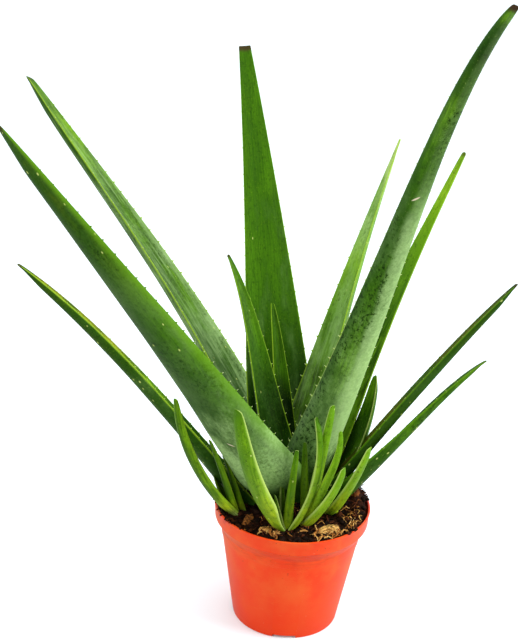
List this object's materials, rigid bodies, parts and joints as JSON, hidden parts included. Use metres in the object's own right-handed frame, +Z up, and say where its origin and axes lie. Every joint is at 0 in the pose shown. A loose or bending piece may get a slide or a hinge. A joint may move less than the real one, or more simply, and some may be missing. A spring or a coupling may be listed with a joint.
{
  "type": "potted aloe plant",
  "caption": "Aloe with long fleshy toothed leaves and young shoots, growing in dark bark soil in a tapered orange plastic nursery pot.",
  "frame": {"origin": "middle of the pot's foot, on the surface that the pot stands on", "axes": "+Z up, +Y away from the side that the picture shows, +X to the right of that side"},
  "size_m": [0.3846, 0.3925, 0.5145],
  "materials": {
    "leaf_flesh": "satin",
    "shoot_flesh": "satin",
    "stem_flesh": "matte",
    "pot_plastic": "satin",
    "potting_soil": "matte",
    "bark": "matte"
  },
  "bodies": {
    "root": {"pot": "pot_plastic", "soil": "potting_soil", "stem": "stem_flesh", "leaf_heart": "leaf_flesh", "leaf_inner_left": "leaf_flesh", "leaf_back_right": "leaf_flesh", "leaf_short_right": "leaf_flesh", "leaf_back_tall": "leaf_flesh", "leaf_right_upper": "leaf_flesh", "leaf_front_right": "leaf_flesh", "leaf_back_left": "leaf_flesh", "leaf_right_middle": "leaf_flesh", "leaf_low_left": "leaf_flesh", "leaf_right_low": "leaf_flesh", "leaf_front_left": "leaf_flesh", "shoot_front": "shoot_flesh", "shoot_middle": "shoot_flesh", "shoot_right": "shoot_flesh", "shoot_left": "shoot_flesh", "bark_chip_front": "bark", "bark_chip_left": "bark", "bark_chip_right": "bark", "bark_chip_back": "bark", "bark_chip_side": "bark"}
  },
  "joints": []
}
